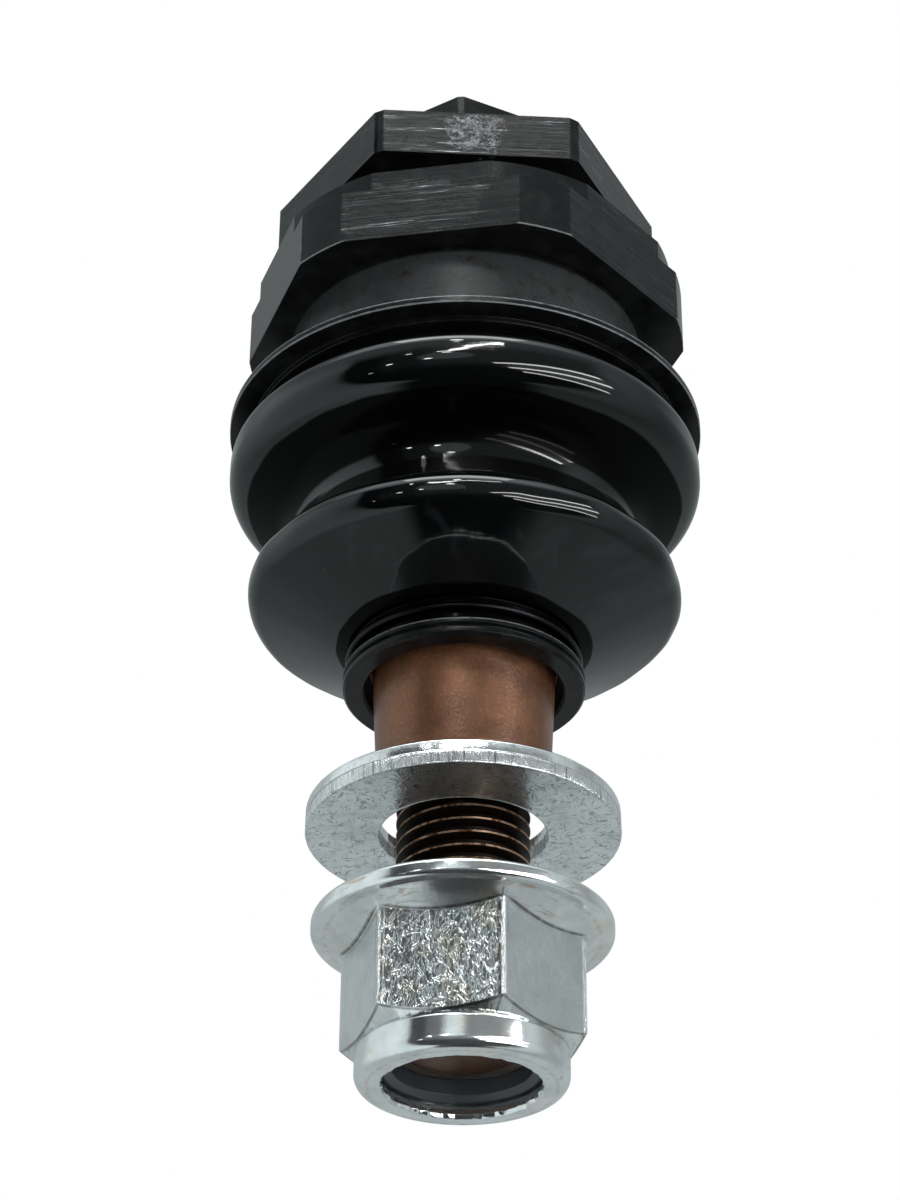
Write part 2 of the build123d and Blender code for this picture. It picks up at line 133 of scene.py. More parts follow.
def hexagonBar(name, acrossFlats, low, high, clocking=0.0):
    # flats face -Y and +Y when the clocking is 0
    shape = bmesh.new()
    corner = acrossFlats / 2 / cos(radians(30)) * mm
    rings = []
    for z in (low, high):
        angles = [radians(60 * k + clocking) for k in range(6)]
        rings.append([shape.verts.new((corner * cos(a), corner * sin(a), z * mm)) for a in angles])
    for k in range(6):
        n = (k + 1) % 6
        shape.faces.new((rings[0][k], rings[0][n], rings[1][n], rings[1][k]))
    shape.faces.new(rings[0][::-1])
    shape.faces.new(rings[1])
    bmesh.ops.recalc_face_normals(shape, faces=shape.faces)
    return finished(name, shape)


def applied(piece):
    # applies a piece's modifiers
    depsgraph = bpy.context.evaluated_depsgraph_get()
    mesh = bpy.data.meshes.new_from_object(piece.evaluated_get(depsgraph))
    old = piece.data
    piece.modifiers.clear()
    piece.data = mesh
    bpy.data.meshes.remove(old)
    return piece


def settled(piece, sharp=32):
    applied(piece)
    smoothed(piece.data, sharp)
    return piece


def trued(piece):
    # keeps the large faces flat beside their rounded edges
    even = piece.modifiers.new("normals", "WEIGHTED_NORMAL")
    even.mode = "FACE_AREA"
    even.weight = 50
    even.keep_sharp = True
    return applied(piece)


def carved(piece, tool, operation="INTERSECT"):
    cut = piece.modifiers.new("cut", "BOOLEAN")
    cut.operation = operation
    cut.solver = "EXACT"
    cut.object = tool
    settled(piece)
    bpy.data.objects.remove(tool)
    return piece


def eased(piece, width, angle=16, segments=2, sharp=40):
    # breaks the sharp edges, as tumbling or a file would
    bevel = piece.modifiers.new("edges", "BEVEL")
    bevel.width = width * mm
    bevel.segments = segments
    bevel.limit_method = "ANGLE"
    bevel.angle_limit = radians(angle)
    bevel.miter_outer = "MITER_ARC"
    return settled(piece, sharp)


def pushed(piece, amount):
    # moves each vertex away from the axis by the millimetres that amount(x, y, z, radius) gives
    for vertex in piece.data.vertices:
        x, y, z = vertex.co / mm
        r = hypot(x, y)
        vertex.co += Vector((x, y, 0)) / r * amount(x, y, z, r) * mm
    return piece


def threaded(name, major, depth, pitch, low, high, fade=1.2, segments=96, crest=0.06, root=0.12):
    # a right-hand outside thread: one strip of profile points that winds up the axis and fades at both ends
    profile = [(0.0, 0), (crest, 0), (0.5 - root, 1), (0.5 + root, 1), (1 - crest, 0)]
    shape = bmesh.new()
    first = floor(low / pitch) - 1
    turns = int((high - low) / pitch) + 4
    columns = []
    for step in range(turns * segments + 1):
        angle = 2 * pi * step / segments
        column = []
        for share, down in profile:
            z = (first + step / segments + share) * pitch
            held = min(max(z, low), high)
            near = min(held - low, high - held, fade) / fade
            r = major / 2 - depth * down * max(near, 0) ** 0.6
            column.append(shape.verts.new((r * mm * cos(angle), r * mm * sin(angle), held * mm)))
        columns.append(column)
    count = len(profile)
    for step in range(turns * segments):
        one, other = columns[step], columns[step + 1]
        for k in range(count - 1):
            shape.faces.new((one[k], other[k], other[k + 1], one[k + 1]))
        if step + segments + 1 <= turns * segments:
            after = columns[step + segments:step + segments + 2]  # the same place one turn further up
            shape.faces.new((one[-1], other[-1], after[1][0], after[0][0]))
    bmesh.ops.dissolve_degenerate(shape, dist=1e-7, edges=shape.edges)
    bmesh.ops.recalc_face_normals(shape, faces=shape.faces)
    return finished(name, shape, 20)


class Wire:
    # a socket that takes part in sums
    def __init__(self, recipe, socket):
        self.recipe = recipe
        self.socket = socket

    def maths(self, operation, *values):
        return self.recipe.add("ShaderNodeMath", {"operation": operation}, dict(enumerate(values)))

    def __add__(self, other):
        return self.maths("ADD", self, other)

    def __radd__(self, other):
        return self.maths("ADD", other, self)

    def __sub__(self, other):
        return self.maths("SUBTRACT", self, other)

    def __rsub__(self, other):
        return self.maths("SUBTRACT", other, self)

    def __mul__(self, other):
        return self.maths("MULTIPLY", self, other)

    def __rmul__(self, other):
        return self.maths("MULTIPLY", other, self)

    def __truediv__(self, other):
        return self.maths("DIVIDE", self, other)

    def __rtruediv__(self, other):
        return self.maths("DIVIDE", other, self)

    def __pow__(self, other):
        return self.maths("POWER", self, other)

    def __rpow__(self, other):
        return self.maths("POWER", other, self)

    def __abs__(self):
        return self.maths("ABSOLUTE", self)

    def most(self, *others):
        # the greatest of several values
        best = self
        for other in others:
            best = self.maths("MAXIMUM", best, other)
        return best


class Recipe:
    # one material, or the studio's surroundings where their tree is given
    # add() makes any node and gives its output
    def __init__(self, name, tree=None, kept=None):
        if tree is None:
            self.material = bpy.data.materials.new(name)
            self.material.use_nodes = True
            self.tree = self.material.node_tree
            self.tree.nodes.clear()
            if kept:  # a place kept on the mesh goes along when the piece bends
                place = self.add("ShaderNodeAttribute", {"attribute_name": kept}, out="Vector")
            else:
                place = self.add("ShaderNodeTexCoord", out="Object")
            self.spot = self.scaled(place, (1000, 1000, 1000))  # the place in millimetres
        else:
            self.tree = tree
            self.tree.nodes.clear()
            self.spot = self.add("ShaderNodeTexCoord", out="Generated")
        self.x = self.add("ShaderNodeSeparateXYZ", {}, {0: self.spot}, "X")
        self.y = Wire(self, self.x.socket.node.outputs["Y"])
        self.z = Wire(self, self.x.socket.node.outputs["Z"])

    def add(self, kind, settings={}, sockets={}, out=0):
        node = self.tree.nodes.new(kind)
        for key, value in settings.items():
            if key == "stops":
                while len(node.color_ramp.elements) < len(value):
                    node.color_ramp.elements.new(0.5)
                for element, (at, colour) in zip(node.color_ramp.elements, value):
                    element.position = at
                    element.color = (*colour, 1) if isinstance(colour, tuple) else (colour, colour, colour, 1)
            else:
                setattr(node, key, value)
        for key, value in sockets.items():
            if isinstance(value, Wire):
                self.tree.links.new(value.socket, node.inputs[key])
            else:
                node.inputs[key].default_value = value
        return Wire(self, node.outputs[out])

    def scaled(self, vector, by):
        return self.add("ShaderNodeVectorMath", {"operation": "MULTIPLY"}, {0: vector, 1: by})

    def joined(self, x, y, z):
        return self.add("ShaderNodeCombineXYZ", {}, {0: x, 1: y, 2: z})

    def grain(self, scale, detail=3, rough=0.5, at=None, warp=0.0):
        # noise about 0.5; scale is in cycles a millimetre
        return self.add("ShaderNodeTexNoise", {}, {
            "Vector": at or self.spot, "Scale": scale, "Detail": detail, "Roughness": rough,
            "Distortion": warp})

    def cells(self, scale):
        return self.add("ShaderNodeTexVoronoi", {}, {"Vector": self.spot, "Scale": scale}, "Distance")

    def veins(self, scale, width, warp=0.6, detail=1.5):
        # 1 along the crooked lines where the noise crosses its middle
        return self.fade(abs(self.grain(scale, detail, 0.5, None, warp) - 0.5), width, 0.0)

    def fade(self, value, low, high, toLow=0.0, toHigh=1.0):
        return self.add("ShaderNodeMapRange", {"clamp": True, "interpolation_type": "SMOOTHSTEP"}, {
            0: value, 1: low, 2: high, 3: toLow, 4: toHigh})

    def band(self, value, lowOut, lowIn, highOut, highIn):
        # 1 inside both limits, 0 outside them
        return self.fade(value, lowOut, lowIn) * self.fade(value, highOut, highIn)

    def mix(self, mask, one, other):
        colours = [(*c, 1) if isinstance(c, tuple) else c for c in (one, other)]
        return self.add("ShaderNodeMix", {"data_type": "RGBA"}, {
            0: mask, 6: colours[0], 7: colours[1]}, 2)

    def blob(self, along, up, place, wobble=None):
        # 1 in an oval place (along, up, half length, half height), 0 outside it
        a, b, c, d = place
        far = ((along - a) / c) ** 2 + ((up - b) / d) ** 2
        return self.fade(far + wobble if wobble else far, 1.35, 0.35)

    def angle(self):
        # the angle round the axis, in radians
        return self.x.maths("ARCTAN2", self.y, self.x)

    def radius(self):
        return (self.x * self.x + self.y * self.y) ** 0.5

    def flats(self, clocking):
        # on a six-sided bar: which flat, how far along it and how far from the axis
        # the front flat is number -2
        turn = (self.angle() * (180 / pi) - clocking) / 60
        index = turn.maths("FLOOR", turn)
        share = (turn - index - 0.5) * (pi / 3)
        reach = self.radius()
        return index, reach * share.maths("SINE", share), reach * share.maths("COSINE", share)

    def bump(self, height, depth, under=None):
        # depth is the relief in millimetres
        sockets = {"Height": height, "Distance": depth * mm, "Strength": 1.0}
        if under:
            sockets["Normal"] = under
        return self.add("ShaderNodeBump", {}, sockets)

    def shader(self, **sockets):
        names = {"colour": "Base Color", "rough": "Roughness", "metal": "Metallic", "normal": "Normal",
                 "specular": "Specular IOR Level"}
        values = {}
        for key, value in sockets.items():
            values[names[key]] = (*value, 1) if isinstance(value, tuple) else value
        return self.add("ShaderNodeBsdfPrincipled", {}, values)

    def finish(self, shader=None, **sockets):
        end = self.tree.nodes.new("ShaderNodeOutputMaterial")
        self.tree.links.new((shader or self.shader(**sockets)).socket, end.inputs[0])
        return self.material


def dressed(piece, material, body=None, replaces=(), true=True):
    if true:
        trued(piece)
    piece.data.materials.clear()
    piece.data.materials.append(material)
    if body:
        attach(piece, body)
    if replaces:
        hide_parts(*replaces)
    return piece


housingSizes = {
    "hexFlats": 46.0, "turned": 50.0, "shoulder": 47.8, "neck": 40.2, "pilot": 32.0, "spigot": 30.0,
    "top": 12.4, "pilotTop": 4.4, "hexTop": -2.4, "hexLow": -9.2, "neckLow": -20.6, "edge": 0.16,
    "plugBore": 20.1, "springBore": 23.92, "cupBore": 32.1, "cupTop": -2.5, "retainerBore": 36.1,
    "retainerTop": -14.2, "threadHigh": 11.45, "threadLow": 5.8, "threadPitch": 1.5, "threadDepth": 0.85,
}


def makeHousing():
    s = housingSizes
    neck, pilot, shoulder, blank = halves(s, "neck", "pilot", "shoulder", "turned")
    plugBore, springBore, cupBore = halves(s, "plugBore", "springBore", "cupBore")
    retainerBore = s["retainerBore"] / 2
    crest, low, high = s["spigot"] / 2, s["threadLow"], s["threadHigh"]
    piece = turned("housingBody", [
        (plugBore, s["top"]), (crest - 1, s["top"]), (crest - 0.05, high), (crest - 1, high - 0.05),
        (crest - 1, low + 0.1), (crest - 0.05, low + 0.05), (crest - 1.1, low),
        (crest - 1.1, s["pilotTop"], 0.3), (pilot, s["pilotTop"], 0.4), (pilot, 0, 0.25),
        (shoulder, 0), (shoulder, s["hexTop"], 0.15),
        (blank, s["hexTop"]), (blank, s["hexLow"]), (neck, s["hexLow"]), (neck, s["neckLow"], 0.2),
        (retainerBore, s["neckLow"]), (retainerBore, s["retainerTop"]), (cupBore, s["retainerTop"]),
        (cupBore, s["cupTop"]), (springBore, s["cupTop"]), (springBore, s["pilotTop"]),
        (plugBore, s["pilotTop"]),
    ], segments=256, step=12)
    carved(piece, hexagonBar("housingBar", s["hexFlats"], s["neckLow"] - 3, s["top"] + 3.6))
    return eased(piece, s["edge"], angle=15)


def makeSpigotThread():
    s = housingSizes
    return threaded("spigotThread", s["spigot"], s["threadDepth"], s["threadPitch"], s["threadLow"],
                    s["threadHigh"], fade=0.5, segments=128)


clampNutSizes = {
    "flats": 38.8, "turned": 44.1, "low": 4.6, "high": 10.6, "bore": 30.16, "mouth": 32.8, "clocking": 13.3,
    "edge": 0.14,
}


def makeClampNut():
    s = clampNutSizes
    low, high = s["low"], s["high"]
    blank, bore, mouth = halves(s, "turned", "bore", "mouth")
    lead = mouth - bore
    piece = turned("clampNutBody", [
        (mouth, low), (blank, low), (blank, high), (mouth, high), (bore, high - lead), (bore, low + lead),
    ], segments=256)
    carved(piece, hexagonBar("clampNutBar", s["flats"], low - 3, high + 3, s["clocking"]))
    return eased(piece, s["edge"], angle=15)


plugSizes = {
    "flats": 24.0, "turned": 27.3, "low": 12.9, "high": 18.2, "clocking": -23.0, "edge": 0.3, "thread": 20.0,
    "foot": 4.9, "sealTop": 11.4, "sealLow": 10.6, "sealGroove": 16.8, "greaseWay": 3.0, "nippleBore": 6.1,
    "nippleLow": 12.65,
}


def makePlug():
    s = plugSizes
    thread, blank, groove, greaseWay, nipple = halves(
        s, "thread", "turned", "sealGroove", "greaseWay", "nippleBore")
    piece = turned("plugBody", [
        (greaseWay, s["foot"]), (thread - 0.1, s["foot"]), (thread - 0.1, s["sealLow"]),
        (groove, s["sealLow"]),
        (groove, s["sealTop"]), (thread, s["sealTop"]), (thread, s["low"]), (blank, s["low"]),
        (blank, s["high"]), (nipple, s["high"]), (nipple, s["nippleLow"]), (greaseWay, s["nippleLow"]),
    ], segments=192)
    carved(piece, hexagonBar("plugBar", s["flats"], s["low"] - 30, s["high"] + 3, s["clocking"]))
    return eased(piece, s["edge"], angle=15)


fittingSizes = {
    "flats": 7.0, "seat": 18.2, "hexHeight": 2.5, "clocking": -23.0, "tip": 26.7, "shank": 6.0, "low": 12.7,
    "neck": 4.4, "neckTop": 23.4, "head": 6.2, "headLow": 24.5, "headTop": 25.2, "edge": 0.08,
    "ballSeat": 26.1, "inlet": 1.5, "springBore": 2.6, "springLow": 13.3, "outlet": 1.2,
}


def makeGreaseFitting():
    s = fittingSizes
    seat, tip = s["seat"], s["tip"]
    top = seat + s["hexHeight"]
    shank, neck, head = halves(s, "shank", "neck", "head")
    inlet, bore, outlet = halves(s, "inlet", "springBore", "outlet")
    nut = turned("fittingNut", [
        (bore, seat), (3.9, seat), (3.95, seat + 0.2), (3.95, top - 0.25), (3.5, top), (bore, top),
    ], segments=96)
    carved(nut, hexagonBar("fittingBar", s["flats"], seat - 1, top + 1, s["clocking"]))
    nipple = turned("fittingNipple", [
        (outlet, s["low"]), (shank, s["low"]), (shank, seat), (neck, top), (neck, s["neckTop"], 0.4),
        (head, s["headLow"], 0.5), (head, s["headTop"], 0.4), (1.35, tip, 0.15), (inlet, tip),
        (inlet, s["ballSeat"]), (bore, s["ballSeat"]), (bore, s["springLow"]), (outlet, s["springLow"]),
    ], segments=96)
    return joinedPieces("greaseFittingBody", [nipple, eased(nut, s["edge"])])


def joinedPieces(name, parts):
    # several solids of one piece, kept as one object
    shape = bmesh.new()
    for part in parts:
        shape.from_mesh(part.data)
        bpy.data.objects.remove(part)
    return finished(name, shape, 40)


retainerSizes = {
    "disc": 53.0, "discTop": -20.6, "discLow": -21.5, "step": 48.2, "stepLow": -22.2, "groove": 39.0,
    "grooveLow": -25.0, "lip": 41.2, "low": -26.2, "thread": 36.0, "top": -14.4, "sealGroove": 33.6,
    "sealTop": -19.2, "sealLow": -20.4, "bearing": 32.1, "bearingLow": -19.5, "throat": 25.4,
    "mouth": 32.08, "round": 0.14,
}


def makeRetainer():
    s = retainerSizes
    edge, low = s["round"], s["low"]
    disc, step, groove, lip = halves(s, "disc", "step", "groove", "lip")
    thread, seal, bearing, throat, mouth = halves(s, "thread", "sealGroove", "bearing", "throat", "mouth")
    return turned("retainerBody", [
        (bearing, s["top"]), (thread, s["top"]), (thread, s["sealTop"]), (seal, s["sealTop"]),
        (seal, s["sealLow"]), (thread, s["sealLow"]), (thread, s["discTop"]), (disc, s["discTop"], edge),
        (disc, s["discLow"], edge), (step, s["discLow"], 0.1), (step, s["stepLow"], edge),
        (groove, s["stepLow"]), (groove, s["grooveLow"]), (lip, s["grooveLow"], 0.2), (lip, low, 0.3),
        (mouth, low, 0.3), (throat, s["bearingLow"]), (bearing, s["bearingLow"]),
    ], segments=256, step=15)


bootSizes = {
    "wall": 1.5, "beadTop": -22.3, "bead": 44.4, "beadBore": 39.16, "beadLow": -24.9, "upperFold": 52.7,
    "upperTop": -24.35, "upperLow": -29.55, "valley": 38.0, "valleyTop": -32.977, "valleyLow": -38.377,
    "lowerFold": 47.4, "lowerTop": -41.0905, "lowerLow": -43.9905, "rim": 25.4, "rimZ": -48.962,
    "neck": 24.0, "neckBore": 22.16, "neckTop": -48.05, "low": -51.762, "slow": 0.10, "ripple": 0.22,
    "shrink": 0.12,
}


def bootOutline():
    # outside from the bead down over both folds, then the inside back up
    s = bootSizes
    bead, beadBore, upper, valley, lower = halves(s, "bead", "beadBore", "upperFold", "valley", "lowerFold")
    rim, neck, neckBore = halves(s, "rim", "neck", "neckBore")
    wall = s["wall"]
    return [
        (bead, s["beadTop"], 0.3), (bead, s["upperTop"], 0.25), (upper, s["upperTop"], 2.95),
        (upper, s["upperLow"], 2.9), (valley, s["valleyTop"], 4.2), (valley, s["valleyLow"], 1.2),
        (lower, s["lowerTop"], 2.1), (lower, s["lowerLow"], 2.1), (rim, s["rimZ"], 0.5),
        (neck, s["rimZ"], 0.2), (neck, s["low"], 0.2),
        (neckBore, s["low"]), (neckBore, s["neckTop"], 0.4), (lower - wall, -43.02, 0.8),
        (lower - wall, -41.96, 0.8), (valley - wall, -39.24, 0.9), (valley - wall, -32.02, 1.2),
        (upper - wall, -28.59, 1.4), (upper - wall, -25.85, 1.4), (21, -25.85), (21, s["beadLow"]),
        (beadBore, s["beadLow"]), (beadBore, s["beadTop"]),
    ]


def mouldedWaves(x, y, z, r):
    # moulded rubber is never quite round: slow waves, and slack ripples low down
    s = bootSizes
    if r < 12.5:  # the neck stays round, for its ring and the collar
        return 0
    low = min(max((-39 - z) / 3, 0), 1)
    slow = noise.noise(Vector((x, y, z)) * 0.045) * s["slow"]
    ripple = noise.noise(Vector((x * 0.22, y * 0.22, z * 0.05 + 7))) * s["ripple"] * low
    return slow + ripple - s["shrink"]


def makeBoot():
    piece = pushed(turned("dustBoot", bootOutline(), segments=320, step=4, sharp=50), mouldedWaves)
    mesh = piece.data
    kept = mesh.attributes.new("restPlace", "FLOAT_VECTOR", "POINT")  # for the material
    for vertex, place in zip(mesh.vertices, kept.data):
        place.vector = vertex.co
    return piece


clampRingSizes = {"bore": 44.4, "outside": 46.0, "high": -22.8, "width": 1.4}


def makeBootClampRing():
    s = clampRingSizes
    bore, outside = halves(s, "bore", "outside")
    high, low = s["high"], s["high"] - s["width"]
    return turned("bootClampBand", [
        (bore, high), (outside, high, 0.15), (outside, low, 0.15), (bore, low),
    ], segments=192)


collarSizes = {
    "flange": 26.0, "sleeve": 22.0, "bore": 20.56, "mouth": 21.2, "sleeveTop": -44.362, "top": -51.862,
    "low": -54.062, "mouthTop": -51.562, "chamfer": 0.3, "groove": 0.45, "grooveTop": -52.62,
    "grooveLow": -53.2,
}


def makeCollar():
    s = collarSizes
    flange, sleeve, bore, mouth = halves(s, "flange", "sleeve", "bore", "mouth")
    top, low, chamfer = s["top"], s["low"], s["chamfer"]
    deep = flange - s["groove"]
    return turned("bootCollarBody", [
        (bore, s["sleeveTop"]), (sleeve, s["sleeveTop"], 0.3), (sleeve, top, 0.1),
        (flange - chamfer, top, 0.1),
        (flange, top - chamfer, 0.1), (flange, s["grooveTop"], 0.06), (deep, -52.8, 0.1), (deep, -53.0, 0.1),
        (flange, s["grooveLow"], 0.06), (flange, low + chamfer, 0.12), (flange - chamfer, low, 0.1),
        (mouth + chamfer, low, 0.1), (mouth, low + chamfer), (mouth, s["mouthTop"]), (bore, s["mouthTop"]),
    ], segments=192, step=15)


studSizes = {
    "ball": 28.0, "ballZ": -12.5, "ballFlat": 7.0, "ballTop": 1.055, "neck": 15.0, "neckTop": -24.32,
    "neckLow": -30.0, "seat": 20.4, "seatTop": -34.5, "taperLarge": 19.7, "taperSmall": 18.4,
    "taperTop": -51.562, "taperLow": -64.562, "undercut": 11.8, "core": 12.2, "threadTop": -66.362,
    "thread": 14.0, "pitch": 1.5, "threadDepth": 0.88, "tip": 11.2, "end": -94.962,
}


def ballSide(steps=40):
    # the ball's side, from its top flat down to the neck
    s = studSizes
    radius, first, last = s["ball"] / 2, radians(75.5), radians(-57.5)
    angles = [first + (last - first) * k / steps for k in range(steps + 1)]
    return [(radius * cos(a), s["ballZ"] + radius * sin(a)) for a in angles]


def makeStudShank():
    s = studSizes
    flat, neck, seat, large, small = halves(s, "ballFlat", "neck", "seat", "taperLarge", "taperSmall")
    undercut, core, thread, tip = halves(s, "undercut", "core", "thread", "tip")
    top, low, end, threadTop = s["taperTop"], s["taperLow"], s["end"], s["threadTop"]
    return turned("studShank", [
        (0, s["ballTop"]), (flat, s["ballTop"]), *ballSide(), (neck, s["neckTop"]), (neck, s["neckLow"], 2),
        (seat, s["seatTop"], 1), (seat, top, 0.1), (large, top, 0.1), (small, low, 0.35),
        (undercut, low, 0.3),
        (undercut, threadTop + 0.4), (thread, threadTop), (core, threadTop - 0.05), (core, end + 1.06),
        (thread - 0.02, end + 1), (core, end + 0.06, 0.15), (tip, end, 0.2), (0, end),
    ], segments=192, closed=False)


def makeStudThread():
    s = studSizes
    return threaded("studThread", s["thread"], s["threadDepth"], s["pitch"], s["end"] + 1, s["threadTop"],
                    fade=0.7)


washerSizes = {"outside": 33.0, "hole": 17.5, "top": -68.362, "low": -71.062, "tear": -69.7, "rough": 0.03}


def tornEdges(x, y, z, r):
    s = washerSizes
    outside, hole = halves(s, "outside", "hole")
    if hole + 0.35 <= r <= outside - 0.3:
        return 0
    tear = noise.noise(Vector((x * 1.7, y * 1.7, z * 0.4))) * s["rough"]
    return tear - s["rough"] if r > 12 else tear


def makeWasher():
    # punched from plate: one edge rolls over, the other is left sharp and a little torn
    s = washerSizes
    outside, hole = halves(s, "outside", "hole")
    top, low = s["top"], s["low"]
    piece = turned("flatWasher", [
        (hole, low, 0.12), (outside, low, 0.14), (outside - 0.02, s["tear"]), (outside - 0.05, top, 0.28),
        (hole, top, 0.45), (hole + 0.08, -70.3),
    ], segments=320, step=18, sharp=50)
    return pushed(piece, tornEdges)


lockNutSizes = {
    "top": -81.012, "flange": 31.1, "flats": 22.0, "turned": 25.3, "waist": 21.4, "hexFoot": -95.012,
    "low": -98.912, "pocket": 18.16, "pocketTop": -95.012, "pocketLow": -97.512, "rolled": 21.6,
    "mouth": 15.9, "bore": 14.16, "clocking": -1.5, "edge": 0.22, "tear": 0.22,
}


def tornLip(x, y, z, r):
    # the rolled lip is torn where the tool let go
    s = lockNutSizes
    if z >= s["low"] + 0.9 or r >= s["mouth"] / 2 + 0.8:
        return 0
    rough = noise.noise(Vector((x * 0.9, y * 0.9, 3))) * s["tear"]
    rough += noise.noise(Vector((x * 3.1, y * 3.1, 9))) * 0.10
    return max(rough, -0.12)


def makeLockNut():
    s = lockNutSizes
    top, foot, low = s["top"], s["hexFoot"], s["low"]
    flange, waist, rolled, mouth, bore, pocket, blankSide = halves(
        s, "flange", "waist", "rolled", "mouth", "bore", "pocket", "turned")
    body = turned("lockNutBody", [
        (bore + 0.9, top), (flange, top, 0.55), (flange, top - 1.85, 0.78), (flange - 1.35, top - 1.72, 0.5),
        (waist + 0.2, top - 3.55, 0.5), (waist, top - 6.2), (waist, foot + 0.3, 0.2),
        (waist - 0.4, foot - 0.1, 0.15), (rolled, foot - 0.4, 1.6), (rolled, low, 1.85),
        (mouth + 0.25, low + 0.02, 0.3), (mouth, low + 0.45, 0.1), (mouth + 0.2, s["pocketLow"] - 0.04),
        (pocket, s["pocketLow"]), (pocket, s["pocketTop"]), (bore, s["pocketTop"]), (bore, top - 0.9),
    ], segments=256, step=8)
    rise = (blankSide - rolled) * tan(radians(30))  # the chamfer at the foot of the hexagon
    blank = turned("lockNutBlank", [
        (8.6, top - 1.2), (blankSide, top - 1.2), (blankSide, foot + rise), (rolled - 0.5, foot - 0.29),
        (8.6, foot - 0.2),
    ], segments=256)
    carved(blank, hexagonBar("lockNutBar", s["flats"], low, top, s["clocking"]))
    carved(body, blank, "UNION")
    return pushed(eased(body, s["edge"], angle=24, segments=3, sharp=70), tornLip)


insertSizes = {"bore": 14.16, "outside": 18.0, "high": -95.112, "low": -97.212, "lead": 0.75}


def makeNylonInsert():
    s = insertSizes
    bore, outside = halves(s, "bore", "outside")
    high, low = s["high"], s["low"]
    return turned("nylonRing", [
        (bore, high), (outside, high), (outside, low, 0.2), (bore + s["lead"], low, 0.15),
        (bore, low + 0.45, 0.15),
    ], segments=192)


blackSteelSizes = {
    "black": (0.0030, 0.0032, 0.0036), "worn": (0.0085, 0.0088, 0.0092), "steel": (0.42, 0.44, 0.45),
    "rust": (0.22, 0.16, 0.12), "lit": (0.046, 0.048, 0.050), "lineDepth": 0.07, "grainDepth": 0.003,
    "wormDepth": 0.03, "specular": 0.18,
}


def makeBlackSteel(name, flats, clocking, edges, scuffs=(), scratches=(), sparkle=0.0, rough=0.22,
                   satinBelow=None, milled=0.2):
    # black oxide on machined steel; edges, scuffs and scratches show the steel beneath
    # a scuff or scratched place is (degrees from the front, height, half width in degrees, half height)
    # milled says how clear the cutter's lines are outside the scratched places
    s = blackSteelSizes
    r = Recipe(name)
    index, along, out = r.flats(clocking)
    turn = r.angle() * (180 / pi) + 90
    onFlat = r.fade(out, flats / 2 - 0.1, flats / 2 - 0.02)
    lines = r.grain(1, 4, 0.62, r.joined(along * 0.07, index * 7.3, r.z * 2.4))
    fine = r.grain(1, 3, 0.6, r.joined(along * 0.16, index * 3.1, r.z * 8))
    mottle = r.grain(0.35, 5, 0.6)
    worms = r.veins(1.9, 0.045, 1.8, 3)
    bare = 0.0
    for place in scuffs:
        here = r.blob(turn, r.z, place, (r.grain(0.45, 4, 0.7) - 0.5) * 6)
        crinkle = (worms * 0.9).most(r.fade(r.grain(1.6, 4, 0.7), 0.50, 0.60) * 0.45)
        bare = (here * crinkle).most(bare)
    streak = r.fade(lines, 0.57, 0.62)
    cut = milled
    for place in scratches:
        here = r.blob(turn, r.z, place, (mottle - 0.5) * 3)
        bare = (here * streak * onFlat * r.fade(fine, 0.50, 0.60) * 0.85).most(bare)
        cut = here.most(cut)
    cut = onFlat * cut
    wear = r.grain(1.3, 3, 0.7)
    for radius, z in edges:  # rubbed rims: the oxide goes first there
        near = abs(r.radius() - radius) + abs(r.z - z)
        bare = (r.fade(near - wear * 0.2, 0.08, -0.03) * 0.35).most(bare)
    tone = r.mix(r.fade(mottle, 0.4, 0.7), s["black"], s["worn"])
    tone = r.mix(r.fade(fine, 0.50, 0.64) * r.fade(lines, 0.44, 0.58) * cut, tone, s["lit"])
    metalTone = r.mix(r.fade(r.grain(0.8, 3), 0.55, 0.75), s["steel"], s["rust"])
    relief = r.bump((lines + fine * 0.35) * cut, s["lineDepth"])
    relief = r.bump(r.grain(5, 3, 0.6), s["grainDepth"] + sparkle, relief)
    relief = r.bump(worms * bare, s["wormDepth"], relief)
    gloss = rough + (mottle - 0.5) * 0.06 + (lines - 0.5) * 0.2 * cut
    if satinBelow is not None:  # turned satin, a little bare from handling
        below = r.fade(r.z, satinBelow, satinBelow - 0.6)
        gloss = gloss + below * 0.10
        bare = (below * (0.05 + r.fade(r.grain(5, 2), 0.5, 0.7) * 0.03)).most(bare)
    return r.finish(colour=r.mix(bare, tone, metalTone), rough=gloss, metal=bare, normal=relief,
                    specular=s["specular"])


rubberSizes = {
    "black": (0.0016, 0.0018, 0.0020), "dust": (0.03, 0.031, 0.033), "foldShadeBlack": (0.0005, 0.0005, 0.0006),
    "rough": 0.04, "flowDepth": 0.008, "foldTop": -30.5, "foldLow": -34.1, "valleyTop": -35.7,
    "valleyLow": -39.4, "neckTop": -48.35,
}


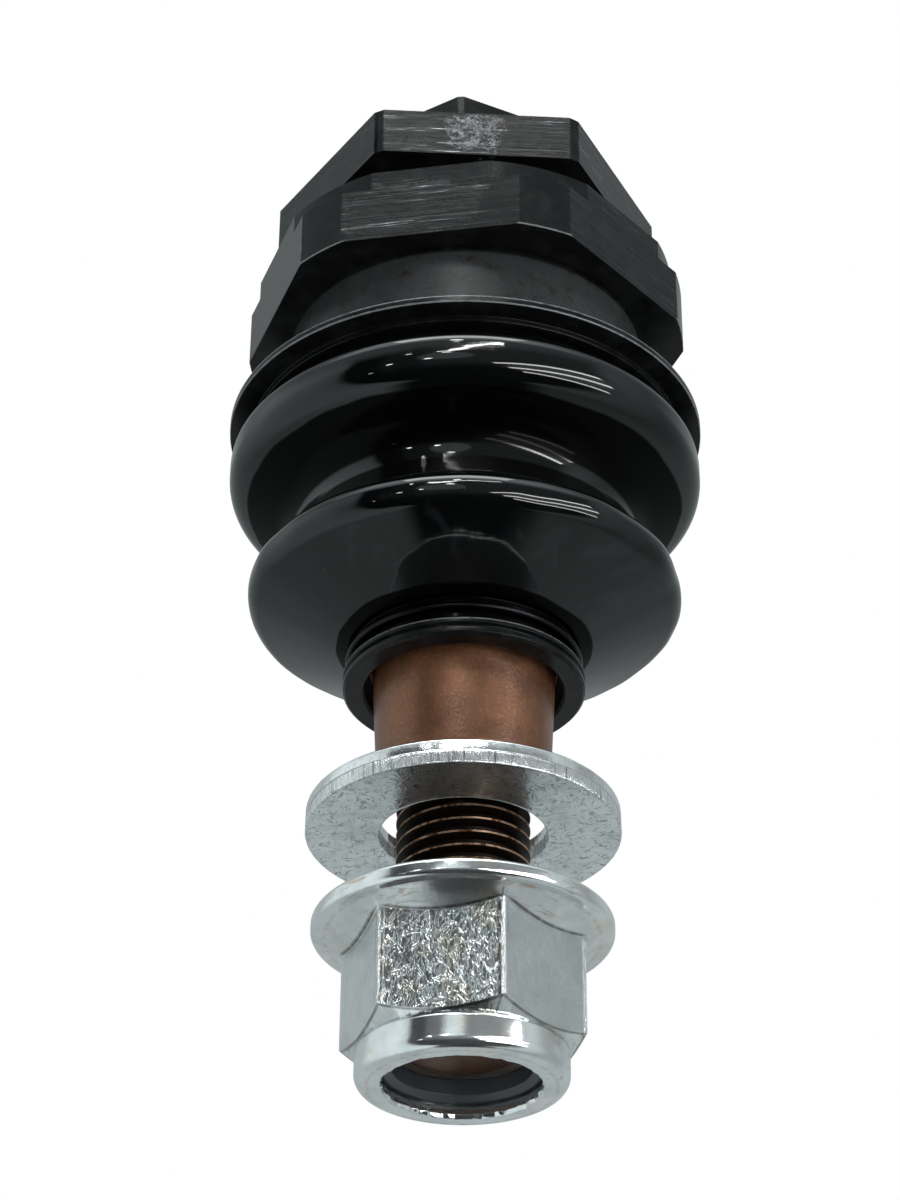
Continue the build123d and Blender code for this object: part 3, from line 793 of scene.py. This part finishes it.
def makeBootRubber():
    s = rubberSizes
    r = Recipe("bootRubber", kept="restPlace")
    turn = r.angle()
    cloud = r.grain(0.22, 4, 0.6)
    # how the rubber filled the mould
    flow = r.grain(1, 3, 0.6, r.joined(turn * 1.6, r.radius() * 0.11, r.z * 0.35), 0.8)
    speck = r.fade(r.cells(0.42), 0.055, 0.02) * r.fade(r.grain(0.31, 1), 0.5, 0.6)
    scrape = r.veins(0.16, width=0.002) * r.fade(r.grain(0.09, 2), 0.5, 0.6)
    low = r.fade(r.z, -42.5, -45) * r.fade(r.radius(), 15, 18)
    creases = r.fade(r.grain(1, 2, 0.5, r.joined(r.x * 0.16, r.y * 0.16, 2.0), 1.6), 0.50, 0.62) * low
    tone = r.mix(r.fade(speck * 0.7 + scrape * 0.25 + creases * 0.22, 0, 1), s["black"], s["dust"])
    rough = s["rough"] + r.fade(cloud, 0.45, 0.8) * 0.05 + scrape * 0.12 + speck * 0.3
    relief = r.bump(flow, s["flowDepth"])
    relief = r.bump(r.grain(1.6, 3, 0.5), 0.002, relief)
    relief = r.bump(speck, 0.02, relief)
    shiny = r.shader(colour=tone, rough=rough, normal=relief, specular=0.5)
    # painted shade: a darker, almost unreflecting black lies in the folds, the valley and the neck, all the
    # way round, standing in for the shade and dark reflections there
    dull = r.shader(colour=s["foldShadeBlack"], rough=0.3, normal=relief, specular=0.03)
    edge = r.z + (r.grain(0.10, 2) - 0.5) * 0.5
    fold = r.band(edge, s["foldTop"], s["foldTop"] - 0.15, s["foldLow"] - 0.5, s["foldLow"])
    valley = r.band(edge, s["valleyTop"], s["valleyTop"] - 0.4, s["valleyLow"] - 0.3, s["valleyLow"])
    neck = r.fade(edge, s["neckTop"], s["neckTop"] - 0.1)
    # where the painted shade lies
    shadeMask = fold.most(neck, valley * 0.94) * 0.95
    return r.finish(r.add("ShaderNodeMixShader", {}, {0: shadeMask, 1: shiny, 2: dull}))


def makeSealRubber():
    r = Recipe("sealRubber")
    return r.finish(colour=r.mix(r.grain(0.5, 3), (0.012, 0.012, 0.013), (0.03, 0.029, 0.028)),
                    rough=0.42 + r.grain(0.8, 3) * 0.2, normal=r.bump(r.grain(6, 3), 0.012))


brownSteelSizes = {
    "brown": (0.205, 0.084, 0.038), "dark": (0.115, 0.046, 0.021), "bright": (0.62, 0.40, 0.27),
    "tipShade": (0.020, 0.016, 0.014), "root": (0.004, 0.003, 0.002), "rough": 0.36, "metal": 0.54,
    "shankShine": 0.8, "threadShine": 0.15,
}


def makeBrownSteel(name, onThread=False):
    # copper-brown phosphate; on the thread the crests are made bright, partly as rubbed metal and partly as a
    # painted highlight, and the roots are painted dark as shade
    s = brownSteelSizes
    r = Recipe(name)
    cloud = r.grain(0.20, 4, 0.6)
    sparkle = r.fade(r.grain(4.5, 2, 0.7), 0.56, 0.70)
    draw = r.grain(1, 3, 0.6, r.joined(r.angle() * 4, 0.0, r.z * 0.25))
    tone = r.mix(r.fade(cloud, 0.3, 0.7), s["dark"], s["brown"])
    tone = r.mix(sparkle * 0.22, tone, s["bright"])
    rough = s["rough"] + (cloud - 0.5) * 0.2 - sparkle * 0.08
    relief = r.bump(r.grain(2.2, 3, 0.6), 0.026)
    relief = r.bump(draw, 0.006, relief)
    shine = s["shankShine"]
    if onThread:
        shine = s["threadShine"]
        reach = r.radius()
        crest = r.fade(reach, 6.93, 6.99) * r.fade(r.grain(1.1, 3), 0.38, 0.55)
        root = r.fade(reach, 6.99, 6.90)
        # painted shade: the whole thread is darkened, most of all in its roots
        tone = r.mix(0.62 + root * 0.36, tone, s["root"])
        tone = r.mix(crest * 0.5, tone, s["bright"])
        rough = rough - crest * 0.12
    else:
        end = studSizes["end"]
        # painted shade: the stud's end, deep in the nut's bore, is darkened
        tone = r.mix(r.fade(r.z, end + 1.6, end + 0.8) * 0.6, tone, s["tipShade"])
    return r.finish(colour=tone, rough=rough, metal=s["metal"], normal=relief, specular=shine)


zincSizes = {
    "zinc": (0.92, 0.955, 0.96), "dull": (0.70, 0.745, 0.75), "gold": (0.86, 0.70, 0.46),
    "shade": (0.30, 0.33, 0.34), "sootAndShade": (0.09, 0.09, 0.09), "rust": (0.42, 0.27, 0.15),
    "bright": (1.0, 1.0, 1.0), "rough": 0.14, "metal": 0.96,
}


def wormTracks(r, at, scale, turns):
    # raised tracks along the level lines of a noise, as plating grows over a drawn surface
    level = r.grain(scale, 2, 0.45, at, 0.9)
    wave = level * (2 * pi * turns)
    return wave.maths("SINE", wave) * 0.5 + 0.5


def makeWasherZinc():
    s = zincSizes
    w = washerSizes
    r = Recipe("washerZinc")
    reach = r.radius()
    turn = r.angle()
    outside, hole = halves(w, "outside", "hole")
    tear = w["tear"]
    rim = r.fade(reach, outside - 0.35, outside - 0.15)
    bore = r.fade(reach, hole + 0.35, hole + 0.12)
    side = rim.most(bore)
    face = 1 - side
    under = face * r.fade(r.z, tear + 0.3, tear - 0.3)
    cloud = r.grain(0.26, 4, 0.6)
    tracks = wormTracks(r, r.spot, 0.8, 5)
    broken = r.fade(r.grain(0.9, 3, 0.6), 0.36, 0.60)
    dark = r.fade(tracks, 0.30, 0.10) * broken
    torn = r.fade(r.z, tear + 0.12, tear - 0.12)  # below the line where the punch's cut turns to a tear
    marks = r.grain(1, 4, 0.7, r.joined(turn * 40, r.z * 0.12, 3.0))
    chips = r.fade(r.grain(1.8, 4, 0.65), 0.52, 0.64)
    line = r.fade(abs(r.z - tear + (r.grain(0.5, 3) - 0.5) * 0.5), 0.09, 0.02) * rim
    tone = r.mix(r.fade(cloud, 0.35, 0.75), s["zinc"], s["dull"])
    tone = r.mix(dark * under * 0.8, tone, s["shade"])
    tone = r.mix(side * torn * r.fade(marks, 0.54, 0.64) * 0.8, tone, s["sootAndShade"])
    tone = r.mix(side * (1 - torn) * chips * 0.4, tone, s["shade"])
    tone = r.mix(rim * (1 - marks) * 0.5, tone, s["bright"])
    tone = r.mix(line * 0.5, tone, s["sootAndShade"])
    rough = s["rough"] + (cloud - 0.5) * 0.16 + face * 0.08
    relief = r.bump(tracks * broken * under, 0.012)
    relief = r.bump(side * torn * marks, 0.16, relief)
    relief = r.bump(side * (1 - torn) * r.grain(1.5, 4, 0.65), 0.015, relief)
    return r.finish(colour=tone, rough=rough, metal=s["metal"], normal=relief)


def makeNutZinc():
    s = zincSizes
    n = lockNutSizes
    r = Recipe("nutZinc")
    index, along, out = r.flats(n["clocking"])
    reach = r.radius()
    top, foot, lip = n["top"], n["hexFoot"], n["low"]
    inHex = r.band(r.z, top - 2.6, top - 3.2, foot - 0.1, foot + 0.3)
    half = n["flats"] / 2
    onFlat = inHex * r.band(out, half - 0.05, half - 0.01, half + 0.05, half + 0.02)
    front = onFlat * r.fade(abs(index + 2), 0.5, 0.4)
    others = onFlat - front
    cloud = r.grain(0.22, 4, 0.6)
    tracks = wormTracks(r, r.joined(along * 2.1 + index * 31, index * 9.7, r.z * 1.05), 0.85, 6)
    tracks = tracks * (0.35 + 0.65 * r.fade(r.grain(0.9, 3, 0.6), 0.36, 0.58))
    height = front + others * (0.12 + 0.25 * r.fade(r.grain(0.18, 3, 0.6), 0.46, 0.60))
    # streaks round the rolled ring
    drawn = r.grain(1, 3, 0.6, r.joined(r.angle() * 2.2, reach * 0.5, r.z * 1.4))
    pits = r.fade(r.cells(0.7), 0.09, 0.03) * r.fade(r.grain(0.4, 2), 0.55, 0.65)
    warm = r.fade(r.grain(0.16, 3, 0.6, warp=0.8), 0.54, 0.70)
    aside = abs(along)
    end = half * tan(radians(30))
    border = onFlat * r.fade(aside, end - 0.75, end - 0.3)
    corner = inHex * r.fade(aside, end - 0.30, end - 0.18) * r.fade(out, half - 0.6, half - 0.3)
    cut = front * r.band(aside, end - 0.62, end - 0.50, end - 0.28, end - 0.38)
    crease = r.band(r.z, top - 5.2, top - 4.6, top - 2.4, top - 2.8)
    crease = crease * r.band(out, half + 0.03, half + 0.10, half + 0.50, half + 0.20)
    chamfer = r.band(r.z, foot + 2.6, foot + 2.2, foot - 0.5, foot - 0.2)
    chamfer = chamfer * r.band(out, half - 0.05, half - 0.12, half - 0.45, half - 0.25)
    neckLine = r.fade(abs(r.z - foot + 0.25), 0.30, 0.10)
    ragged = r.fade(r.grain(1.1, 3, 0.6), 0.38, 0.56)
    groove = r.fade(abs(reach - n["flange"] / 2 + 1.45), 0.30, 0.10)
    groove = groove * r.fade(r.z, top - 2.6, top - 2.3)
    lipLine = r.fade(r.z, lip + 0.8, lip + 0.3) * r.fade(abs(reach - 9.5), 0.25, 0.08)
    streaks = r.fade(r.grain(1, 4, 0.62, r.joined(r.angle() * 3, reach * 1.1, r.z * 0.7), 0.6), 0.54, 0.66)
    streaks = streaks * r.fade(r.grain(0.10, 2), 0.48, 0.60) * (1 - onFlat)
    torn = r.grain(1.2, 4, 0.65, r.joined(along * 3, index * 5, r.z))
    tone = r.mix(r.fade(cloud, 0.35, 0.75), s["zinc"], s["dull"])
    tone = r.mix(warm * 0.3 * (1 - onFlat), tone, s["gold"])
    tone = r.mix(r.fade(tracks, 0.45, 0.12) * (front * 0.55 + others * 0.14), tone, s["shade"])
    tone = r.mix(front * r.fade(r.grain(0.35, 3), 0.45, 0.62) * 0.22, tone, s["gold"])
    tone = r.mix(others * 0.3, tone, s["dull"])
    tone = r.mix(streaks * 0.55, tone, s["rust"])
    # painted highlight: the rounded corners of the hexagon are made near white
    tone = r.mix(corner * 0.9, tone, s["bright"])
    # painted shade: the crease under the flange, the band at the hexagon's foot and the line above the rolled
    # ring are darkened
    tone = r.mix((crease + chamfer * 0.8 + neckLine * 0.35) * (0.6 + ragged * 0.25), tone, s["sootAndShade"])
    tone = r.mix((groove * 0.22 + lipLine * 0.2) * ragged, tone, s["rust"])
    tone = r.mix(cut * ragged * 0.75, tone, s["sootAndShade"])
    tone = r.mix(pits * 0.6 * (1 - onFlat), tone, s["sootAndShade"])
    dish = r.band(r.z, top - 7, top - 6, top - 2.2, top - 2.9) * (1 - onFlat)
    rough = s["rough"] + (cloud - 0.5) * 0.10 + others * 0.10 - front * 0.05 + dish * 0.12
    relief = r.bump(tracks * height, 0.013)
    relief = r.bump(torn * border, 0.10, relief)
    relief = r.bump(drawn * (1 - inHex), 0.010, relief)
    relief = r.bump(r.grain(0.45, 2, 0.5) * (1 - onFlat), 0.03, relief)
    relief = r.bump(r.grain(3.2, 3, 0.6), 0.003, relief)
    return r.finish(colour=tone, rough=rough, metal=s["metal"], normal=relief)


def makeBrightSteel(name, tone, rough):
    # plain hard steel with fine turning marks
    r = Recipe(name)
    cloud = r.grain(0.5, 4, 0.6)
    rings = r.grain(1, 3, 0.6, r.joined(r.radius() * 5, 0.0, r.z * 5))
    return r.finish(colour=r.mix(r.fade(cloud, 0.3, 0.75), tone, tuple(c * 0.62 for c in tone)),
                    rough=rough + (cloud - 0.5) * 0.2, metal=1.0, normal=r.bump(rings, 0.010))


def makeNylon():
    r = Recipe("greyNylon")
    cloud = r.grain(0.4, 4, 0.6)
    swirl = r.grain(1, 3, 0.6, r.joined(r.angle() * 3, r.radius() * 2, r.z * 0.6))
    return r.finish(colour=r.mix(cloud, (0.026, 0.030, 0.034), (0.045, 0.050, 0.056)),
                    rough=0.34 + (cloud - 0.5) * 0.2, normal=r.bump(swirl, 0.02), specular=0.5)


def makeAcetal():
    r = Recipe("whiteAcetal")
    cloud = r.grain(0.3, 4, 0.6)
    smear = r.fade(r.grain(0.15, 3, 0.6, warp=1.0), 0.55, 0.75)  # traces of grease
    clean = r.mix(cloud, (0.74, 0.72, 0.66), (0.66, 0.63, 0.56))
    return r.finish(colour=r.mix(smear * 0.6, clean, (0.42, 0.33, 0.18)),
                    rough=0.38 - smear * 0.2 + (cloud - 0.5) * 0.1, normal=r.bump(r.grain(1.2, 3), 0.02))


noFlats = 500  # so far out that a round piece has none
housingSteel = makeBlackSteel(
    "housingBlack", housingSizes["hexFlats"], 0.0, [(25.0, -9.15)],
    scratches=[(-9, -5.8, 24, 5)], sparkle=0.003, satinBelow=-9.4, milled=0.4)
clampSteel = makeBlackSteel(
    "clampNutBlack", clampNutSizes["flats"], clampNutSizes["clocking"], [],
    scuffs=[(13.5, 7.9, 10, 2.6)], scratches=[(13.3, 7.6, 42, 5)], rough=0.20, milled=0.6)
plugSteel = makeBlackSteel("plugBlack", plugSizes["flats"], plugSizes["clocking"], [], rough=0.26)
roundSteel = makeBlackSteel("turnedBlack", noFlats, 0.0, [(26.5, -20.68), (26.5, -21.45)])
collarSteel = makeBlackSteel("collarBlack", noFlats, 0.0, [(13.0, -52.15), (13.0, -53.95)], rough=0.24)
rubber = makeBootRubber()
sealRubber = makeSealRubber()
shankSteel = makeBrownSteel("brownShank")
threadSteel = makeBrownSteel("brownThread", onThread=True)
washerZinc = makeWasherZinc()
nutZinc = makeNutZinc()
fittingZinc = makeBrightSteel("fittingZinc", (0.60, 0.62, 0.62), 0.26)
nylon = makeNylon()
acetal = makeAcetal()
springSteel = makeBrightSteel("springSteel", (0.34, 0.34, 0.35), 0.30)
ringSteel = makeBrightSteel("neckRingSteel", (0.020, 0.021, 0.023), 0.34)
print("materials made")

dressed(makeHousing(), housingSteel, "housing", ["housing"])
dressed(makeSpigotThread(), housingSteel, "housing", true=False)
dressed(makeClampNut(), clampSteel, "clamp_nut", ["clamp_nut"])
dressed(makePlug(), plugSteel, "housing", ["adjusting_plug"])
dressed(makeGreaseFitting(), fittingZinc, "housing", ["grease_fitting"])
dressed(makeRetainer(), roundSteel, "housing", ["retainer"])
boot = dressed(makeBoot(), rubber, None, ["boot"], true=False)
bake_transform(boot)
dressed(makeBootClampRing(), roundSteel, "boot", ["boot_clamp_ring"])
dressed(makeCollar(), collarSteel, "collar", ["boot_collar"])
dressed(makeStudShank(), shankSteel, "stud", ["ball_stud"])
dressed(makeStudThread(), threadSteel, "stud", true=False)
dressed(makeWasher(), washerZinc, "washer", ["washer"])
dressed(makeLockNut(), nutZinc, "nut", ["lock_nut"])
dressed(makeNylonInsert(), nylon, "insert", ["nylon_insert"])
for node, material in {
    "plug_seal": sealRubber, "retainer_seal": sealRubber, "disc_spring": springSteel,
    "upper_cup": acetal, "lower_bearing": acetal, "boot_neck_ring": ringSteel,
    "check_ball": springSteel, "fitting_spring": springSteel,
}.items():
    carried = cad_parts[node]
    carried.data.materials.clear()
    carried.data.materials.append(material)
    smoothed(carried.data, 35)
print("pieces dressed")


cameraSizes = {
    "azimuth": 10.18, "rise": 31.70, "roll": 0.45, "distance": 320.0, "aside": 1.57, "aim": -42.07,
    "lens": 87.92,
}


def posed(right, up, back, place):
    # a matrix from its three directions and its place
    return Matrix((*zip(right, up, back, place), (0, 0, 0, 1)))


def makeCamera():
    s = cameraSizes
    turn, rise, roll = radians(s["azimuth"]), radians(s["rise"]), radians(s["roll"])
    spin = Matrix.Rotation(turn, 3, "Z")
    level = spin @ Vector((1, 0, 0))
    ahead = spin @ Vector((0, cos(rise), sin(rise)))
    upright = level.cross(ahead)
    right = level * cos(roll) + upright * sin(roll)
    up = upright * cos(roll) - level * sin(roll)
    far = s["distance"]
    place = spin @ Vector((-s["aside"], -far * cos(rise), s["aim"] - far * sin(rise))) * mm
    data = bpy.data.cameras.new("frontCamera")
    camera = bpy.data.objects.new("frontCamera", data)
    scene.collection.objects.link(camera)
    camera.matrix_world = posed(right, up, -ahead, place)
    data.lens = s["lens"]
    data.clip_start = 0.01
    scene.camera = camera


makeCamera()
scene.view_settings.view_transform = "Standard"
print("camera placed")

studioSizes = {
    "floor": -0.30, "backdrop": 1.0, "leftWall": 0.80, "backWall": 0.44, "rightWall": 0.54, "farRight": 0.30,
    "room": 0.010, "frontWall": 0.20, "glare": 0.55, "between": 0.55, "hood": 1.9, "hoodLow": 0.55,
    "ceiling": 0.5, "cool": (0.90, 0.985, 1.0), "white": (1.0, 1.0, 1.0), "reach": 0.8,
    "centre": (0, 0, -0.035), "paper": [(0.88, 0.88, 0.88), (0.93, 0.93, 0.93)],
    # side and rise of each lamp's middle or ends in degrees, its width in degrees and its radiance
    "discs": [(-33, -14, 2.2, 10), (-23.5, 4, 3.0, 26), (-17, 33, 2.6, 14), (-6.5, 6, 3.4, 30),
              (1, 29, 4.2, 14), (5, 41, 5.0, 24)],
    "tubes": [((22, -14), (72, 18), 3.6, 13), ((30, -27), (77, 5), 3.6, 13), ((38, -36), (78, -17), 3.6, 11),
              ((-4, 32.3), (28, 37.6), 1.1, 34), ((-34, 59), (44, 59), 18.0, 4.5)],
}


def towards(side, rise):
    # side is in degrees from -Y towards +X
    side, rise = radians(side), radians(rise)
    return Vector((sin(side) * cos(rise), -cos(side) * cos(rise), sin(rise)))


def makeLight(name, first, second, width, strength):
    # a lamp between two directions, facing the object; strength is its radiance
    s = studioSizes
    centre = Vector(s["centre"])
    one, other = [centre + towards(*way) * s["reach"] for way in (first, second)]
    middle = (one + other) / 2
    wide = 2 * s["reach"] * tan(radians(width / 2))
    data = bpy.data.lights.new(name, "AREA")
    if first == second:
        data.shape = "DISK"
        data.size = wide
        area = pi * wide ** 2 / 4
        along = Vector((0, 0, 1))
    else:
        data.shape = "RECTANGLE"
        data.size = (other - one).length
        data.size_y = wide
        area = data.size * wide
        along = (other - one).normalized()
    data.energy = strength * pi * area
    outward = (middle - centre).normalized()
    across = outward.cross(along).normalized()
    along = across.cross(outward).normalized()
    lamp = bpy.data.objects.new(name, data)
    lamp.matrix_world = posed(along, across, outward, middle)
    lamp.visible_camera = False
    scene.collection.objects.link(lamp)


def makeStudio():
    # a white tent, open towards the dim room in front and above
    s = studioSizes
    world = bpy.data.worlds.new("studioWorld")
    scene.world = world
    world.use_nodes = True
    r = Recipe("studio", world.node_tree)
    side = r.x.maths("ARCTAN2", r.x, r.y * -1.0) * (180 / pi)
    rise = r.z.maths("ARCSINE", r.z) * (180 / pi)
    soft = (r.grain(1.6, 3) - 0.5) * 9  # nothing in a studio has a ruled edge
    left = s["backWall"] + r.fade(abs(side + 78), 44, 14, 0, s["leftWall"] - s["backWall"])
    right = s["farRight"] + r.fade(side, 112, 148, 0, s["backWall"] - s["farRight"])
    right = right + r.fade(side, 112, 86, 0, s["rightWall"] - s["farRight"])
    front = s["room"] + r.fade(side + soft, -32, -25, 0, s["frontWall"] * 0.4)
    front = front + r.fade(side + soft, -16, -6, 0, s["frontWall"] * 0.6)
    front = front * r.fade(rise + soft, -38, -8, 0.08, 1)
    front = front + r.fade(((side - 1) / 13) ** 2 + ((rise - 15) / 16) ** 2, 1.15, 0.65, 0, s["glare"])
    slope = rise + 8 - (side - 56) * 0.5
    front = front + r.fade(((side - 57) / 30) ** 2 + (slope / 22) ** 2, 1.3, 0.5, 0, s["between"])
    glow = left + (front - left) * r.fade(side + soft * 0.4, -51, -44)
    glow = glow + (right - glow) * r.fade(side + soft * 0.4, 70, 84)
    hood = r.fade(rise, 40, 50, s["hoodLow"], s["hood"])
    wide = r.fade(side, -82, -56) * r.fade(side, 100, 40)
    top = s["ceiling"] + wide * r.fade(r.z, 0.985, 0.90) * (hood - s["ceiling"])
    glow = glow + (top - glow) * r.fade(rise + soft * 0.2, 35.5, 38.5)
    glow = glow * r.fade(rise + soft * 0.5, -78, -70, 0.02, 1)
    seen = r.add("ShaderNodeLightPath", out="Is Camera Ray")
    strength = glow + (s["backdrop"] - glow) * seen
    shader = r.add("ShaderNodeBackground", {}, {
        "Color": r.mix(seen, s["cool"], s["white"]), "Strength": strength})
    end = r.tree.nodes.new("ShaderNodeOutputWorld")
    r.tree.links.new(shader.socket, end.inputs[0])
    for i, (turn, up, width, strength) in enumerate(s["discs"]):
        makeLight(f"roundLamp{i + 1}", (turn, up), (turn, up), width, strength)
    for i, (first, second, width, strength) in enumerate(s["tubes"]):
        makeLight(f"tubeLamp{i + 1}", first, second, width, strength)
    shape = bmesh.new()
    bmesh.ops.create_grid(shape, x_segments=1, y_segments=1, size=2.0)
    floor = finished("studioFloor", shape)
    floor.location.z = s["floor"]
    floor.visible_glossy = False
    r = Recipe("floorPaper")
    floor.data.materials.append(r.finish(colour=r.mix(r.grain(0.01, 3), *s["paper"]), rough=0.9))


makeStudio()
print("studio made")
